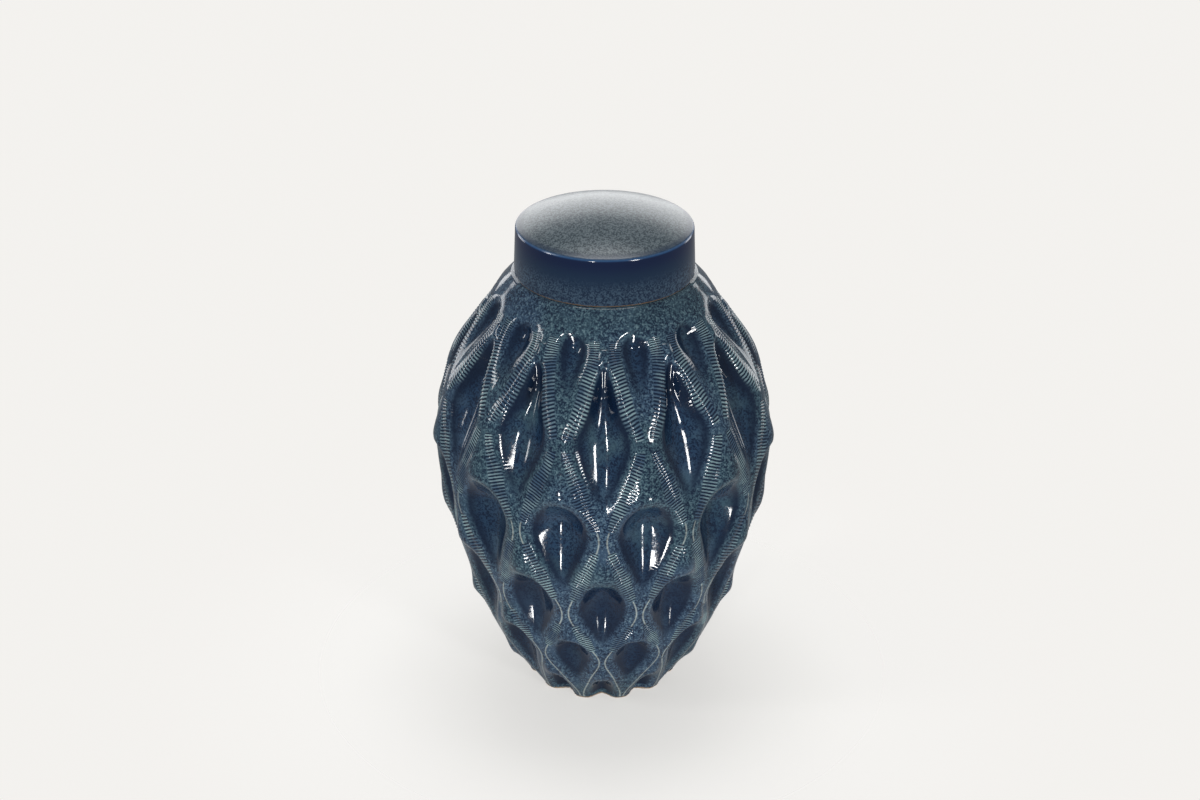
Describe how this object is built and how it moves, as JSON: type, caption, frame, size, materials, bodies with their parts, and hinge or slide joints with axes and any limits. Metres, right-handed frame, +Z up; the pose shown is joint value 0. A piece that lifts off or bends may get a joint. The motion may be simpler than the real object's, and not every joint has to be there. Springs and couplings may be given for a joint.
{
  "type": "funeral urn",
  "caption": "Ceramic funeral urn: an egg-shaped vessel with staggered almond hollows between combed ridges, and a loose domed cap.",
  "frame": {"origin": "centre of the foot, on the plane that the urn stands on", "axes": "+Z up through the middle of the foot and the cap; -Y faces the front"},
  "size_m": [0.203, 0.203, 0.311],
  "materials": {
    "body_glaze": "glossy mottled blue-grey glaze, navy in the hollows, pale on the ridges",
    "lid_glaze": "speckled blue-grey glaze, cobalt under the rim, satin on the top"
  },
  "bodies": {
    "root": {"urn_body": "body_glaze", "lid": "lid_glaze"}
  },
  "joints": []
}
